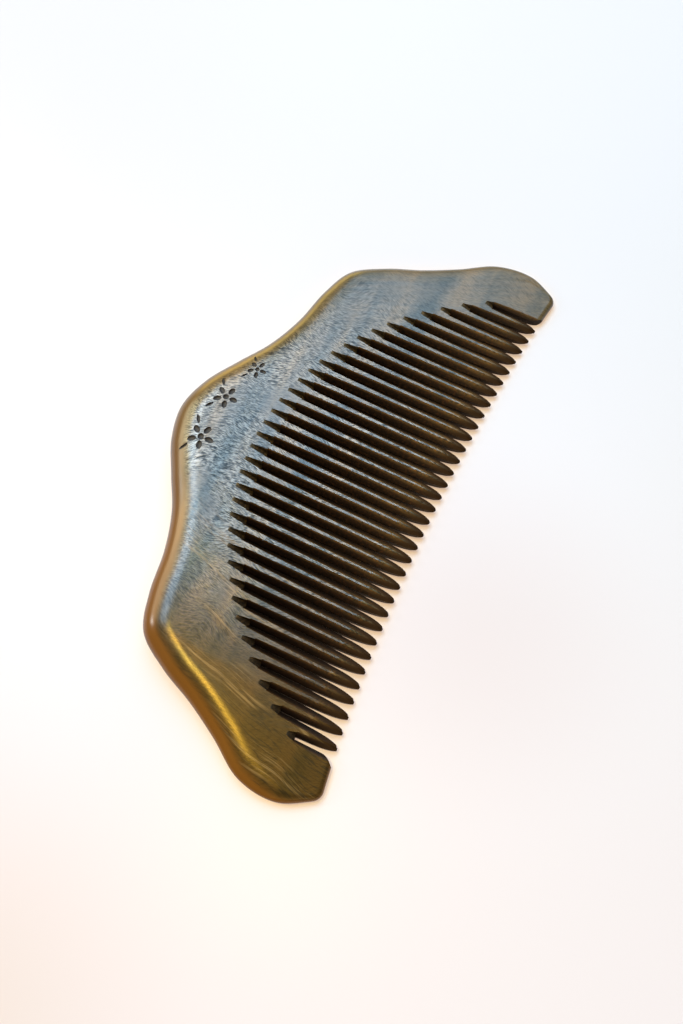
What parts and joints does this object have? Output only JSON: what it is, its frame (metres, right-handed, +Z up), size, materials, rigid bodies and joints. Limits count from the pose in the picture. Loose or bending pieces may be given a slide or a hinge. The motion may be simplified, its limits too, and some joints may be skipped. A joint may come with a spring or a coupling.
{
  "type": "wooden comb",
  "caption": "One-piece wooden comb with a thick rounded back, one row of straight tapered teeth and a broad guard at each end; it parts and smooths hair.",
  "frame": {"origin": "under the middle of the comb's bounding box, on the surface it rests on", "axes": "+X along the comb's length, +Y from its back towards the tooth tips, +Z up from the face it lies on"},
  "size_m": [0.1554, 0.0766, 0.0122],
  "materials": {
    "wood": "polished"
  },
  "bodies": {
    "root": {"comb": "wood"}
  },
  "joints": []
}
